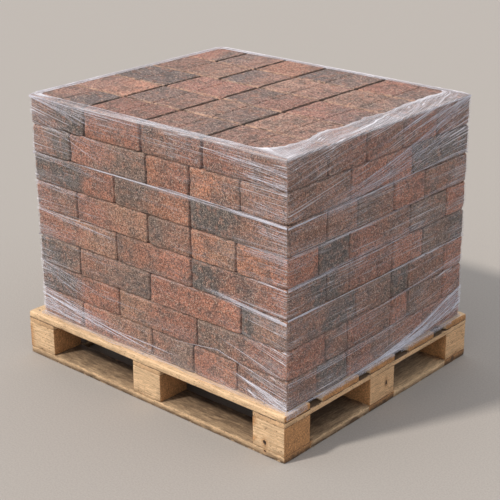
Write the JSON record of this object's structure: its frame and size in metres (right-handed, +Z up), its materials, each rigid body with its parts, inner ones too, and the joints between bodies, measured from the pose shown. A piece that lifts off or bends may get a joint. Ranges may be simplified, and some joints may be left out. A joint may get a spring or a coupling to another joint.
{
  "type": "pallet of concrete block pavers",
  "caption": "Timber four-way block pallet loaded with stacked courses of blended red-brown concrete block pavers, wrapped in clear stretch film.",
  "frame": {"origin": "middle of the pallet's footprint on the ground", "axes": "+Z up, +X along the pallet's length to its right end, +Y along its width to the back"},
  "size_m": [1.2, 1, 0.9632],
  "materials": {
    "concrete": "matte",
    "timber": "matte",
    "stretch_film": "gloss"
  },
  "bodies": {
    "root": {"back_base_board": "timber", "back_deck_board": "timber", "back_inner_deck_board": "timber", "back_left_block": "timber", "back_left_cross_board": "timber", "back_middle_block": "timber", "back_right_block": "timber", "back_right_cross_board": "timber", "front_base_board": "timber", "front_deck_board": "timber", "front_inner_deck_board": "timber", "front_left_block": "timber", "front_left_cross_board": "timber", "front_middle_block": "timber", "front_right_block": "timber", "front_right_cross_board": "timber", "left_stringer_board": "timber", "middle_base_board": "timber", "middle_deck_board": "timber", "middle_left_block": "timber", "middle_middle_block": "timber", "middle_right_block": "timber", "middle_stringer_board": "timber", "paver_course_1": "concrete", "paver_course_2": "concrete", "paver_course_3": "concrete", "paver_course_4": "concrete", "paver_course_5": "concrete", "paver_course_6": "concrete", "paver_course_7": "concrete", "paver_course_8": "concrete", "right_stringer_board": "timber", "stretch_film": "stretch_film"}
  },
  "joints": []
}
